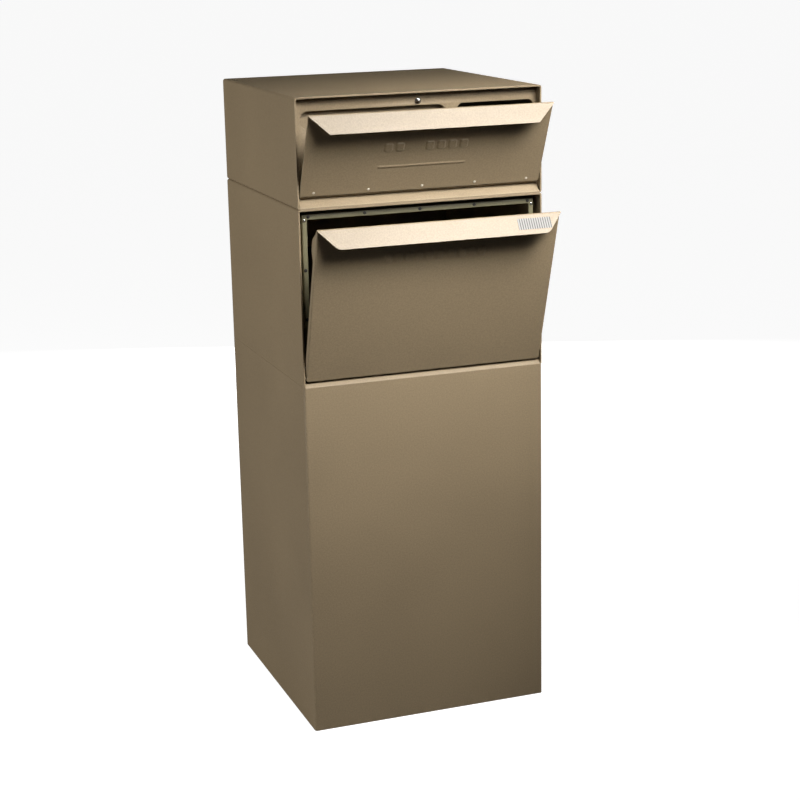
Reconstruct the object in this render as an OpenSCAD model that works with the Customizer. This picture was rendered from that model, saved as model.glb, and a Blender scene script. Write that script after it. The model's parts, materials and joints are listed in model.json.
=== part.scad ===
// Free-standing mail and parcel drop cabinet: three stacked sheet steel modules.
// The front faces -Y, the origin is the centre of the anchor pattern on the ground.

/* [Cabinet] */
// Overall width
cab_w = 394; // [320:1:480]
// Overall depth
cab_d = 400; // [330:1:500]
// Height of the pedestal module
pedestal_h = 561; // [460:1:680]
// Height of the parcel module
parcel_h = 271; // [240:1:330]
// Height of the mail module
mail_h = 165; // [155:1:200]
// Shell sheet thickness
shell_t = 2.7; // [2:0.1:3.3]
// Thickness of the inner sheets, doors and flaps
panel_t = 2; // [1.5:0.1:2.5]
// Outside radius of the shell bends
bend_r = 4; // [3.5:0.1:6]
// Gap around each swinging door and flap
door_gap = 1.5; // [1:0.1:2.5]

/* [Mail flap] */
// How far the flap stands open, in degrees
flap_open = 24.5; // [0:0.5:60]
// How far the face panel sits behind the front edge
face_recess = 13; // [12:0.5:20]
// Gap between the closed flap and the roof
flap_top_gap = 4.8; // [2:0.1:8]
// Length of the folded grip lip
flap_lip = 31; // [20:1:38]
// Angle of the lip from the flap's own upward direction
flap_lip_angle = 131; // [110:1:140]
// Inset of the lip's mitred ends
flap_lip_inset = 28; // [10:1:40]

/* [Mail slots] */
// Length of the incoming slot
in_slot_w = 231; // [180:1:231]
// Height of the incoming slot
in_slot_h = 27; // [20:1:32]
// Distance of the incoming slot from the left wall
in_slot_edge = 8.3; // [6.3:0.1:17.3]
// Width of the outgoing slot
out_slot_w = 124; // [100:1:124]
// Height of the outgoing slot
out_slot_h = 78; // [50:1:80]
// Distance of the outgoing slot from the right wall
out_slot_edge = 6.3; // [5.3:0.1:12.3]
// Corner radius of the outgoing slot
out_slot_r = 8; // [4:0.5:12]
// Distance from the slots' top edge to the roof
slot_drop = 19.3; // [18.3:0.5:25.3]
// Depth of the outgoing mail box
out_box_d = 115; // [80:1:160]
// Gap between the face panel and the incoming baffle
baffle_gap = 8; // [6:1:30]

/* [Parcel door] */
// How far the door stands open, in degrees
door_open = 18; // [0:0.5:50]
// Length of the folded grip lip
door_lip = 34; // [20:1:42]
// Angle of the lip from the door's own upward direction
door_lip_angle = 128; // [110:1:140]
// Inset of the lip's mitred ends
door_lip_inset = 26; // [10:1:40]
// Depth of the side returns' stop tabs
return_top = 17.5; // [12:0.5:17.5]
// Depth of the side returns below the tabs
return_foot = 8; // [6:0.5:10]
// Height of the pivot above the pedestal
pivot_rise = 15.5; // [14:0.5:20]
// Distance of the pivot behind the closed door's outer face
pivot_depth = 8.5; // [8.5:0.5:12]
// Width of the inner frame's front flange
frame_w = 8; // [7:0.1:10]
// Gap between the inner frame's front flange and the walls
frame_gap = 6; // [5.5:0.1:8]
// Distance of the inner frame behind the front edge
frame_recess = 12; // [11.5:0.5:15]
// Radius of the pivot studs
stud_r = 3.5; // [3:0.1:3.6]

/* [Drop tray] */
// Length of the tray from its rod
tray_l = 230; // [160:1:235]
// Slope of the tray below level when the door is closed, in degrees
tray_drop = 70; // [60:1:75]
// Distance from the door pivot back to the tray rod
rod_back = 51; // [48:1:60]
// Radius of the tray rod
rod_r = 4; // [3:0.1:4.5]
// Length of the two equal linkage levers
lever_l = 42; // [32:1:46]
// Play at the linkage's rear pivot
open_pivot_play = 0.4; // [0.3:0.05:0.6]

/* [Rear doors] */
// Width of the frame around each rear opening
rear_frame_w = 22; // [18:1:30]
// Distance of the lock axis from the frame's inner edge
lock_inset = 14; // [13:0.5:20]
// Length of the lock cam from its axis
cam_l = 30; // [26:1:34]
// Radius of the lock body
lock_r = 8; // [7:0.1:9]

/* [Fasteners and base] */
// Thickness of the base plate
base_t = 3; // [2.5:0.1:6]
// Anchor hole spacing along X
anchor_x = 254; // [200:1:280]
// Anchor hole spacing along Y
anchor_y = 254; // [200:1:290]
// Radius of the anchor holes
anchor_r = 7; // [5:0.1:8]
// Spacing of the frame screws along the top
screw_pitch = 89; // [70:1:89]
// Spacing of the frame screws down the sides
side_pitch = 75; // [60:1:80]
// Radius of the module bolts
bolt_r = 3; // [2.5:0.1:4]

/* [Hidden] */
$fn = 48;
fit = 0.05;
seat = 0.3;
overlap = 0.3;
leaf_t = 1.2;
box_t = 1.2;
in_x = cab_w / 2 - shell_t;
front_y = -cab_d / 2;
back_y = cab_d / 2;
z_mail = pedestal_h + parcel_h;
z_top = z_mail + mail_h;
mail_floor = z_mail + shell_t;
mail_roof = z_top - shell_t;
parcel_roof = z_mail - shell_t;
inner_r = 2;

// Weld beads, bolts and screws
bead_h = 1.2;
bead_out = 0.5;
bead_front = 38;
bead_rear = 56;
bolt_side = 47;
bolt_end = 80;
bolt_tail = 6;
bolt_head_r = 2 * bolt_r;
bolt_head_h = 0.9 * bolt_r;
nut_h = 1.6 * bolt_r;
nut_r = 1.9 * bolt_r;
screw_r = 1.5;
screw_head_r = 2.6;
screw_head_h = 1;
screw_tail = 3;

// Mail flap hinge, a continuous hinge along X
flap_knuckle_r = 2.4;
flap_pin_r = 1.2;
flap_knuckles = 31;
flap_leaf_w = 14;
face_y = front_y + face_recess;
sill_rise = 11.5;
sill_lip = 0.4;
axis_rise = 3.8;
rivet_count = 5;
rivet_end = 21;
rivet_rise = 5.5;
rivet_head = 0.7;
rivet_r = 2;
flap_axis_y = face_y - leaf_t - flap_knuckle_r + overlap * 2;
flap_axis_z = mail_floor + sill_rise + axis_rise;
flap_w = 2 * (in_x - door_gap - overlap);
flap_rear = -flap_knuckle_r - leaf_t + overlap * 2;
flap_foot = flap_knuckle_r + 0.8;
flap_l = mail_roof - flap_top_gap - flap_axis_z;
flap_hinge_l = flap_w - 4;

// Slots in the face panel
slot_top = mail_roof - slot_drop;
in_slot_x = -in_x + in_slot_edge;
out_slot_x = in_x - out_slot_edge;
baffle_skirt = 30;
baffle_margin = 4;
baffle_flange = 16;
box_margin = 3;
box_sump = 15;
catch_z = slot_top + 7;
catch_r = 3;
catch_flange_r = 5;
catch_gap = 1;
catch_tail = 4;
catch_nut_r = 5.5;
catch_nut_h = 2.4;

// Parcel door, swinging on two studs
face_gap = 0.5;
door_y = front_y + face_gap + pivot_depth;
door_z = pedestal_h + pivot_rise;
door_w = 2 * (in_x - door_gap);
door_foot = -4;
door_top_gap = 0.6;
door_l = parcel_roof - door_z - panel_t / 2 - door_top_gap;
door_bottom_r = 5;
stud_l = 14.3;
ear_t = 3;
ear_x = in_x - stud_l - ear_t;
ear_h = 22;
lever_root = 13;
ear_r = pivot_depth - panel_t - 0.1;
bush_r = 5;
bush_flange_t = 1.2;
return_top_z = door_l - 4;
tab_corner = 22;
tab_h = 12;
tab_taper = 20;
frame_y = front_y + frame_recess;
frame_d = 18;
frame_x = in_x - frame_gap;
frame_top = parcel_roof - frame_gap;
frame_foot = door_z + 13.5;
corner_drop = 9.4;
sill_top = pedestal_h + 5;
sill_slope_y = front_y + 9;
fold_round = 0.03;

// Drop tray and its link: two equal levers make a parallelogram
tray_y = door_y + rod_back;
tray_z = door_z;
bracket_w = 36;
ledge_y = tray_y - bracket_w / 2 - seat;
lever_y = 2;
lever_w = 12;
hub_r = rod_r + 3;
collar_r = hub_r + 4;
tray_stop_h = 12;
deflector_d = 92;
deflector_h = 138;
deflector_tab = 25;
link_t = 2.8;
link_x = ear_x - ear_t - link_t - 0.4;
link_w = 10;
link_pin_r = 3;
link_head_r = 5;
link_head_t = 1.8;
link_y = door_y + lever_y * cos(door_open) - lever_l * sin(door_open);
link_z = door_z + lever_y * sin(door_open) + lever_l * cos(door_open);

// Rear doors, their hinges and locks
rear_knuckle_r = 3.2;
rear_pin_r = 1.6;
leaf_bite = 0.7;
hinge_end = 5;
vault_knuckles = 13;
mail_knuckles = 5;
rear_hinge_x = -in_x + leaf_t + rear_knuckle_r - leaf_bite;
rear_hinge_y = back_y + 1.5;
rear_leaf_w = 26;
rear_door_x0 = rear_hinge_x + rear_knuckle_r + 0.5;
rear_door_x1 = in_x - door_gap;
rear_frame_gap = 3.3;
rear_frame_y = back_y - shell_t - rear_frame_gap - panel_t;
vault_z0 = base_t + door_gap;
vault_z1 = pedestal_h - door_gap;
mail_door_z0 = mail_floor + door_gap;
mail_door_z1 = mail_roof - door_gap;
lock_x = in_x - rear_frame_w - lock_inset;
lock_rim_t = 2.5;
lock_rim_w = 2.5;
lock_nut_r = lock_r + 4;
keyway_w = 1.6;
keyway_h = 6.4;
cam_screw_r = 1.6;
cam_head_t = 2;
cam_t = 3;
cam_w = 14;
cam_y = rear_frame_y - seat - cam_t;
nut_t = 3.6;
plug_r = lock_r - 2.5;
vault_lock_z = (vault_z0 + vault_z1) / 2;
mail_lock_z = (mail_door_z0 + mail_door_z1) / 2;

// Colours of the finishes
powder = [0.51, 0.45, 0.36];
powder_light = [0.62, 0.56, 0.46];
olive = [0.30, 0.28, 0.21];
zinc = [0.72, 0.72, 0.70];
bright = [0.86, 0.86, 0.85];
dark_steel = [0.12, 0.12, 0.12];
nylon = [0.90, 0.89, 0.84];
brass = [0.78, 0.64, 0.34];

// A rectangle with round corners, from the origin
module round_plate(w, d, r) {
  translate([r, 0]) square([w - 2 * r, d]);
  translate([0, r]) square([w, d - 2 * r]);
  for (x = [r, w - r], y = [r, d - r])
    translate([x, y]) circle(r);
}

// Draws a front view outline (X, Z) as a sheet from y to y + t
module upright(y, t) {
  translate([0, y + t, 0]) rotate([90, 0, 0]) linear_extrude(t) children();
}

// Draws a side view outline (Y, Z) as a bar from x0 to x1
module profile_x(x0, x1) {
  translate([x0, 0, 0]) rotate([90, 0, 90]) linear_extrude(x1 - x0) children();
}

// A straight pin along X, and one along Y
module pin_x(x0, x1, r) {
  translate([x0, 0, 0]) rotate([0, 90, 0]) cylinder(r = r, h = x1 - x0);
}
module pin_y(y0, y1, r) {
  translate([0, y1, 0]) rotate([90, 0, 0]) cylinder(r = r, h = y1 - y0);
}

// Places its children on the mail flap's hinge axis, or at the flap's open angle
module at_flap(open) {
  translate([0, flap_axis_y, flap_axis_z]) rotate([open, 0, 0]) children();
}

// Places its children on the parcel door's pivot axis, turned by an angle
module at_door(turn) {
  translate([0, door_y, door_z]) rotate([turn, 0, 0]) children();
}

// Places its children on the tray's rod, turned by an angle
module at_tray(turn) {
  translate([0, tray_y, tray_z]) rotate([turn, 0, 0]) children();
}

// One leaf of a knuckled hinge along Z, with its plate beside the barrel towards +X
module hinge_half(r, bore, length, count, first, off, leaf_w) {
  pitch = length / count;
  difference() {
    union() {
      for (i = [first:2:count - 1])
        translate([0, 0, i * pitch + seat / 2]) {
          cylinder(r = r, h = pitch - seat);
          translate([0, off, 0]) cube([r + 1, leaf_t, pitch - seat]);
        }
      translate([r + seat, off, 0]) cube([leaf_w - r - seat, leaf_t, length]);
    }
    translate([0, 0, -1]) cylinder(r = bore, h = length + 2);
  }
}

// A lip folded from the top edge of a door, with mitred ends
module folded_lip(w, length, inset, angle, y, z) {
  translate([0, y, z]) rotate([angle, 0, 0])
    translate([0, panel_t / 2, 0]) rotate([90, 0, 0]) linear_extrude(panel_t)
      polygon([[-w / 2, 0], [w / 2, 0], [w / 2 - inset, length], [-w / 2 + inset, length]]);
  translate([0, y, z]) pin_x(-w / 2, w / 2, panel_t / 2 + fold_round);
}

// ---- Cabinet shells ----

module pedestal_shell() {
  color(powder) translate([0, front_y, 0]) linear_extrude(pedestal_h)
    intersection() {
      difference() {
        translate([-cab_w / 2, 0]) round_plate(cab_w, 2 * cab_d, bend_r);
        translate([-in_x, shell_t]) round_plate(2 * in_x, 2 * cab_d, bend_r - shell_t);
      }
      translate([-cab_w / 2, 0]) square([cab_w, cab_d]);
    }
}

module base_plate() {
  color(powder) difference() {
    translate([-in_x, front_y + shell_t + 1.5, 0]) cube([2 * in_x, cab_d - 2 * shell_t - 3, base_t]);
    for (x = [-1, 1], y = [-1, 1])
      translate([x * anchor_x / 2, y * anchor_y / 2, -1]) cylinder(r = anchor_r, h = base_t + 2);
  }
}

module parcel_shell() {
  color(powder) difference() {
    upright(front_y, cab_d) intersection() {
      difference() {
        translate([-cab_w / 2, z_mail - 2 * parcel_h]) round_plate(cab_w, 2 * parcel_h, bend_r);
        translate([-in_x, parcel_roof - 2 * parcel_h])
          round_plate(2 * in_x, 2 * parcel_h, bend_r - shell_t);
      }
      translate([-cab_w / 2, pedestal_h]) square([cab_w, parcel_h]);
    }
    module_bolt_places() cylinder(r = bolt_r + seat, h = 8 * shell_t, center = true);
  }
}

module mail_shell() {
  color(powder) difference() {
    upright(front_y, cab_d) difference() {
      translate([-cab_w / 2, z_mail]) round_plate(cab_w, mail_h, bend_r);
      translate([-in_x, mail_floor]) round_plate(2 * in_x, mail_h - 2 * shell_t, bend_r - shell_t);
    }
    module_bolt_places() cylinder(r = bolt_r + seat, h = 8 * shell_t, center = true);
  }
}

module weld_beads() {
  length = cab_d - bead_front - bead_rear;
  color(powder_light) for (x = [-cab_w / 2 - bead_out, cab_w / 2])
    translate([x, front_y + bead_front, pedestal_h - bead_h / 2]) cube([bead_out, length, bead_h]);
}

module module_bolt_places() {
  for (x = [-1, 1], y = [-1, 1])
    translate([x * (cab_w / 2 - bolt_side), y * (cab_d / 2 - bolt_end), z_mail]) children();
}

module module_bolts() {
  color(zinc) module_bolt_places() {
    translate([0, 0, -shell_t - bolt_tail]) cylinder(r = bolt_r, h = 2 * shell_t + bolt_tail);
    translate([0, 0, shell_t]) cylinder(r = bolt_head_r, h = bolt_head_h);
  }
}

module module_nuts() {
  color(zinc) module_bolt_places() translate([0, 0, -shell_t - nut_h]) difference() {
    cylinder(r = nut_r, h = nut_h, $fn = 6);
    translate([0, 0, -1]) cylinder(r = bolt_r + fit, h = nut_h + 2);
  }
}

// ---- Mail module ----

module mail_sill() {
  run = face_recess - sill_lip;
  color(powder_light) profile_x(-in_x + door_gap, in_x - door_gap) polygon([
    [face_y - run, mail_floor],
    [face_y, mail_floor + sill_rise],
    [face_y, mail_floor + sill_rise - 1.5 * panel_t],
    [face_y - run + 1.5 * panel_t, mail_floor]
  ]);
}

module mail_face_panel() {
  color(powder) upright(face_y, panel_t) difference() {
    translate([-in_x, mail_floor]) round_plate(2 * in_x, mail_h - 2 * shell_t, inner_r);
    translate([in_slot_x, slot_top - in_slot_h])
      round_plate(in_slot_w, in_slot_h, in_slot_h / 2 - fit);
    translate([out_slot_x - out_slot_w, slot_top - out_slot_h])
      round_plate(out_slot_w, out_slot_h, out_slot_r);
    translate([0, catch_z]) circle(catch_r + fit);
  }
}

module flap_catch() {
  color(bright) translate([0, 0, catch_z]) {
    pin_y(flap_axis_y + flap_rear + catch_gap, face_y - 1, catch_r);
    pin_y(face_y - 1, face_y, catch_flange_r);
    pin_y(face_y, face_y + panel_t + catch_tail, catch_r);
  }
}

module catch_nut() {
  color(zinc) translate([0, 0, catch_z]) difference() {
    translate([0, face_y + panel_t + catch_nut_h, 0]) rotate([90, 0, 0])
      cylinder(r = catch_nut_r, h = catch_nut_h, $fn = 6);
    pin_y(face_y, face_y + panel_t + catch_tail, catch_r + fit);
  }
}

module incoming_baffle() {
  y0 = face_y + panel_t + baffle_gap;
  z0 = slot_top - in_slot_h - baffle_skirt;
  x0 = in_slot_x - baffle_margin;
  color(powder_light) profile_x(x0, x0 + in_slot_w + 2 * baffle_margin) polygon([
    [y0, z0],
    [y0 + box_t, z0],
    [y0 + box_t, mail_roof - box_t],
    [y0 + baffle_flange, mail_roof - box_t],
    [y0 + baffle_flange, mail_roof],
    [y0, mail_roof]
  ]);
}

module outgoing_box() {
  x0 = out_slot_x - out_slot_w - box_margin;
  z0 = slot_top - out_slot_h - box_sump;
  w = out_slot_w + 2 * box_margin;
  h = out_slot_h + box_sump + box_margin;
  color(powder) translate([x0, face_y + panel_t, z0]) difference() {
    cube([w, out_box_d, h]);
    translate([box_t, -1, box_t]) cube([w - 2 * box_t, out_box_d + 1 - box_t, h - 2 * box_t]);
  }
}

module flap_hinge_fixed_leaf() {
  color(zinc) at_flap(0) translate([flap_hinge_l / 2, 0, 0]) rotate([0, -90, 0])
    hinge_half(flap_knuckle_r, flap_pin_r + fit, flap_hinge_l, flap_knuckles, 0,
      flap_knuckle_r - 2 * overlap, flap_leaf_w);
}

module flap_hinge_pin() {
  color(zinc) at_flap(0) pin_x(-flap_hinge_l / 2, flap_hinge_l / 2, flap_pin_r);
}

module flap_hinge_leaf() {
  color(zinc) at_flap(flap_open) translate([flap_hinge_l / 2, 0, 0]) rotate([0, -90, 0])
    hinge_half(flap_knuckle_r, flap_pin_r + fit, flap_hinge_l, flap_knuckles, 1, flap_rear,
      flap_leaf_w);
}

module mail_flap() {
  color(powder) at_flap(flap_open) {
    translate([-flap_w / 2, flap_rear - panel_t, flap_foot])
      cube([flap_w, panel_t, flap_l - flap_foot]);
    folded_lip(flap_w, flap_lip, flap_lip_inset, flap_lip_angle, flap_rear - panel_t / 2, flap_l);
  }
}

module flap_rivets() {
  pitch = (flap_w - 2 * rivet_end) / (rivet_count - 1);
  color(powder_light) at_flap(flap_open) for (i = [0:rivet_count - 1])
    translate([-flap_w / 2 + rivet_end + i * pitch, 0, flap_foot + rivet_rise])
      pin_y(flap_rear - panel_t - rivet_head, flap_rear - panel_t, rivet_r);
}

// ---- Parcel door ----

module parcel_sill() {
  color(powder_light) profile_x(-in_x, in_x) polygon([
    [front_y + sill_lip, pedestal_h],
    [sill_slope_y, sill_top],
    [ledge_y, sill_top],
    [ledge_y, sill_top - panel_t],
    [sill_slope_y + panel_t / 3, sill_top - panel_t],
    [front_y + sill_lip + 2 * panel_t, pedestal_h]
  ]);
}

// The inner frame's bent section: a ring of two stiles and a head, w wide and set in by inset
module frame_ring(inset, w) {
  difference() {
    translate([-in_x + inset, frame_foot])
      square([2 * (in_x - inset), parcel_roof - inset - frame_foot]);
    translate([-in_x + inset + w, frame_foot - 1])
      square([2 * (in_x - inset - w), parcel_roof - inset - w - frame_foot + 1]);
  }
}

module parcel_frame() {
  color(olive) difference() {
    union() {
      upright(frame_y, panel_t) frame_ring(frame_gap, frame_w);
      upright(frame_y, frame_d) frame_ring(frame_gap, panel_t);
      upright(frame_y + frame_d - panel_t, panel_t) intersection() {
        frame_ring(0, frame_gap + panel_t);
        frame_corners();
      }
    }
    frame_screw_places() pin_y(frame_y - 1, frame_y + panel_t + 1, screw_r + fit);
    corner_screw_places() pin_y(frame_y - 1, frame_y + panel_t + 1, screw_r + fit);
  }
}

// The shell's inside corners, where the frame's rear flange meets the walls
module frame_corners() {
  translate([-in_x, frame_foot]) difference() {
    square([2 * in_x, parcel_roof - frame_foot]);
    for (side = [0, 1]) translate([side * 2 * in_x, parcel_roof - frame_foot])
      rotate(-45) square([2 * inner_r, 2 * inner_r], center = true);
  }
}

module frame_screw_places() {
  reach = floor(frame_x / screw_pitch);
  for (i = [-reach:reach])
    translate([i * screw_pitch, 0, frame_top - frame_w / 2]) children();
  for (x = [-1, 1], i = [1:2])
    translate([x * (frame_x - frame_w / 2), 0, frame_top - corner_drop - i * side_pitch]) children();
}

module corner_screw_places() {
  for (x = [-1, 1])
    translate([x * (frame_x - frame_w / 2), 0, frame_top - corner_drop]) children();
}

module frame_screw() {
  pin_y(frame_y - screw_head_h, frame_y, screw_head_r);
  pin_y(frame_y, frame_y + panel_t + screw_tail, screw_r);
}

module frame_screws() {
  color(dark_steel) frame_screw_places() frame_screw();
}

module frame_corner_screws() {
  color(bright) corner_screw_places() frame_screw();
}

module door_outline() {
  r = door_bottom_r;
  translate([-door_w / 2 + r, door_foot]) square([door_w - 2 * r, door_l - door_foot]);
  translate([-door_w / 2, door_foot + r]) square([door_w, door_l - door_foot - r]);
  for (x = [-1, 1])
    translate([x * (door_w / 2 - r), door_foot + r]) circle(r);
}

module side_return() {
  outer = -pivot_depth;
  weld = outer + panel_t - overlap;
  foot = door_foot + door_bottom_r;
  tab_top = return_top_z - tab_corner;
  difference() {
    polygon([
      [weld, foot],
      [outer + return_foot, foot + panel_t],
      [outer + return_foot, tab_top - tab_h - tab_taper],
      [outer + return_top, tab_top - tab_h],
      [outer + return_top, tab_top],
      [outer + 2 * panel_t, return_top_z],
      [weld, return_top_z]
    ]);
    circle(stud_r + door_gap);
  }
}

module parcel_door() {
  color(powder) at_door(door_open) {
    upright(-pivot_depth, panel_t) door_outline();
    profile_x(-door_w / 2, -door_w / 2 + panel_t) side_return();
    profile_x(door_w / 2 - panel_t, door_w / 2) side_return();
    folded_lip(door_w, door_lip, door_lip_inset, door_lip_angle, -pivot_depth + panel_t / 2, door_l);
  }
}

// Ear outline with the pivot hole, cut flat where it is welded to the door
module ear_outline() {
  difference() {
    union() {
      circle(ear_r);
      translate([-pivot_depth + panel_t, 0]) square([pivot_depth - panel_t, ear_h]);
      square([ear_r - 1, lever_root + 1]);
    }
    circle(bush_r + fit);
  }
}

// Lever outline from the pivot's collar up to the link pin
module lever_outline(hub) {
  difference() {
    union() {
      translate([lever_y - lever_w / 2, hub]) square([lever_w, lever_l - hub]);
      translate([lever_y, lever_l]) circle(lever_w / 2);
    }
    translate([lever_y, lever_l]) circle(link_pin_r + fit);
  }
}

module pivot_ears() {
  color(powder) at_door(door_open) {
    profile_x(-ear_x, -ear_x + ear_t) ear_outline();
    profile_x(ear_x - ear_t, ear_x) {
      ear_outline();
      lever_outline(lever_root);
    }
  }
}

module pivot_bushes() {
  color(nylon) at_door(door_open) for (side = [0, 1]) mirror([side, 0, 0]) difference() {
    union() {
      pin_x(ear_x - ear_t, ear_x, bush_r);
      pin_x(ear_x, ear_x + bush_flange_t, ear_r);
    }
    pin_x(0, cab_w, stud_r + fit);
  }
}

module pivot_studs() {
  color(zinc) at_door(0) {
    pin_x(-in_x, -ear_x + ear_t + 1, stud_r);
    pin_x(ear_x - ear_t - 1, in_x, stud_r);
  }
}

module front_link_pin() {
  color(zinc) at_door(door_open) translate([0, lever_y, lever_l]) {
    pin_x(link_x - seat, ear_x + 1, link_pin_r);
    pin_x(link_x - seat - link_head_t, link_x - seat, link_head_r);
  }
}

// ---- Drop tray and link ----

module tray_rod() {
  color(zinc) at_tray(0) pin_x(-in_x, in_x, rod_r);
}

module tray_brackets() {
  color(powder) at_tray(0) for (x = [-in_x, in_x - ear_t]) profile_x(x, x + ear_t) difference() {
    translate([-bracket_w / 2, -bracket_w / 2]) round_plate(bracket_w, bracket_w, bush_r);
    circle(rod_r + fit);
  }
}

module drop_tray() {
  half_w = ear_x - ear_t;
  color(powder) difference() {
    at_tray(door_open - tray_drop) {
      pin_x(-half_w, half_w, hub_r);
      translate([-half_w, hub_r - 1, -panel_t / 2]) cube([2 * half_w, tray_l - hub_r + 1, panel_t]);
      translate([-half_w, tray_l - panel_t, 0]) cube([2 * half_w, panel_t, tray_stop_h]);
    }
    at_tray(0) pin_x(-in_x, in_x, rod_r + fit);
  }
}

module tray_lever() {
  color(powder) at_tray(door_open) profile_x(ear_x - ear_t, ear_x) {
    difference() {
      circle(collar_r);
      circle(rod_r + fit);
    }
    lever_outline(hub_r + 2);
  }
}

module rear_link_pin() {
  color(zinc) at_tray(door_open) translate([0, lever_y, lever_l]) {
    pin_x(link_x - seat, ear_x + 1, link_pin_r);
    pin_x(link_x - seat - link_head_t, link_x - seat, link_head_r);
  }
}

module tray_link() {
  color(zinc) translate([0, link_y, link_z]) profile_x(link_x, link_x + link_t) difference() {
    union() {
      circle(link_w / 2);
      translate([rod_back, 0]) circle(link_w / 2);
      translate([0, -link_w / 2]) square([rod_back, link_w]);
    }
    circle(link_pin_r + fit);
    translate([rod_back, 0]) circle(link_pin_r + open_pivot_play);
  }
}

module rear_deflector() {
  y1 = back_y - shell_t;
  foot = door_z - 2 * rod_r;
  color(powder) profile_x(-in_x, in_x) polygon([
    [y1, foot + deflector_h],
    [y1 - deflector_d, foot],
    [y1 - deflector_d + panel_t, foot],
    [y1 - box_t, foot + deflector_h - panel_t],
    [y1 - box_t, foot + deflector_h - deflector_tab],
    [y1, foot + deflector_h - deflector_tab]
  ]);
}

module parcel_rear_panel() {
  color(powder) upright(back_y - shell_t, shell_t)
    translate([-in_x, pedestal_h]) round_plate(2 * in_x, parcel_roof - pedestal_h, inner_r);
}

// ---- Rear doors ----

module rear_frame(z0, z1) {
  color(powder) upright(rear_frame_y, panel_t) difference() {
    translate([-in_x + leaf_t, z0]) round_plate(2 * in_x - leaf_t, z1 - z0, inner_r);
    translate([-in_x + rear_frame_w, z0 + rear_frame_w / 2])
      square([2 * (in_x - rear_frame_w), z1 - z0 - rear_frame_w]);
  }
}

module vault_rear_frame() {
  rear_frame(base_t, pedestal_h);
}

module mail_rear_frame() {
  rear_frame(mail_floor, mail_roof);
}

module rear_door(z0, z1, lock_z) {
  color(powder) upright(back_y - shell_t, shell_t) difference() {
    translate([rear_door_x0, z0]) round_plate(rear_door_x1 - rear_door_x0, z1 - z0, inner_r);
    translate([lock_x, lock_z]) circle(lock_r + fit);
  }
}

module vault_rear_door() {
  rear_door(vault_z0, vault_z1, vault_lock_z);
}

module mail_rear_door() {
  rear_door(mail_door_z0, mail_door_z1, mail_lock_z);
}

// Hinge pieces of a rear door whose edges are z0 and z1
module rear_fixed_leaf(z0, z1, count) {
  color(zinc) translate([rear_hinge_x, rear_hinge_y, z0 + hinge_end]) rotate([0, 0, -90])
    hinge_half(rear_knuckle_r, rear_pin_r + fit, z1 - z0 - 2 * hinge_end, count, 0,
      -rear_knuckle_r - leaf_t + leaf_bite, rear_leaf_w);
}

module rear_door_leaf(z0, z1, count) {
  color(zinc) translate([rear_hinge_x, rear_hinge_y, z0 + hinge_end])
    hinge_half(rear_knuckle_r, rear_pin_r + fit, z1 - z0 - 2 * hinge_end, count, 1,
      back_y - rear_hinge_y, rear_leaf_w);
}

module rear_hinge_pin(z0, z1) {
  color(zinc) translate([rear_hinge_x, rear_hinge_y, z0 + hinge_end])
    cylinder(r = rear_pin_r, h = z1 - z0 - 2 * hinge_end);
}

module vault_fixed_leaf() {
  rear_fixed_leaf(vault_z0, vault_z1, vault_knuckles);
}

module vault_door_leaf() {
  rear_door_leaf(vault_z0, vault_z1, vault_knuckles);
}

module vault_hinge_pin() {
  rear_hinge_pin(vault_z0, vault_z1);
}

module mail_fixed_leaf() {
  rear_fixed_leaf(mail_door_z0, mail_door_z1, mail_knuckles);
}

module mail_door_leaf() {
  rear_door_leaf(mail_door_z0, mail_door_z1, mail_knuckles);
}

module mail_hinge_pin() {
  rear_hinge_pin(mail_door_z0, mail_door_z1);
}

// Cam lock pieces, on a lock axis along Y
module lock_body() {
  color(bright) difference() {
    union() {
      pin_y(cam_y + cam_t + seat, back_y, lock_r);
      pin_y(back_y, back_y + lock_rim_t, lock_r + lock_rim_w);
    }
    pin_y(cam_y, back_y + 2 * lock_rim_t, plug_r + fit);
  }
}

module lock_nut() {
  y1 = back_y - shell_t;
  color(zinc) difference() {
    translate([0, y1, 0]) rotate([90, 0, 0]) cylinder(r = lock_nut_r, h = nut_t, $fn = 6);
    pin_y(y1 - nut_t - 1, y1 + 1, lock_r + fit);
  }
}

module lock_plug() {
  color(brass) difference() {
    pin_y(cam_y + cam_t, back_y + lock_rim_t - seat, plug_r);
    translate([-keyway_w / 2, back_y - keyway_w, -keyway_h / 2])
      cube([keyway_w, keyway_w + 2 * lock_rim_t, keyway_h]);
  }
}

module lock_cam() {
  color(zinc) upright(cam_y, cam_t) difference() {
    union() {
      circle(cam_w / 2);
      translate([-cam_w / 2, 0]) square([cam_w, cam_l]);
    }
    circle(cam_screw_r + fit);
  }
}

module cam_screw() {
  color(zinc) {
    pin_y(cam_y, cam_y + cam_t, cam_screw_r);
    pin_y(cam_y - cam_head_t, cam_y, 2 * cam_screw_r);
  }
}

module at_vault_lock() {
  translate([lock_x, 0, vault_lock_z]) children();
}

module at_mail_lock() {
  translate([lock_x, 0, mail_lock_z]) children();
}

module vault_lock_body() { at_vault_lock() lock_body(); }
module vault_lock_nut() { at_vault_lock() lock_nut(); }
module vault_lock_plug() { at_vault_lock() lock_plug(); }
module vault_lock_cam() { at_vault_lock() lock_cam(); }
module vault_cam_screw() { at_vault_lock() cam_screw(); }
module mail_lock_body() { at_mail_lock() lock_body(); }
module mail_lock_nut() { at_mail_lock() lock_nut(); }
module mail_lock_plug() { at_mail_lock() lock_plug(); }
module mail_lock_cam() { at_mail_lock() lock_cam(); }
module mail_cam_screw() { at_mail_lock() cam_screw(); }

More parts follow.
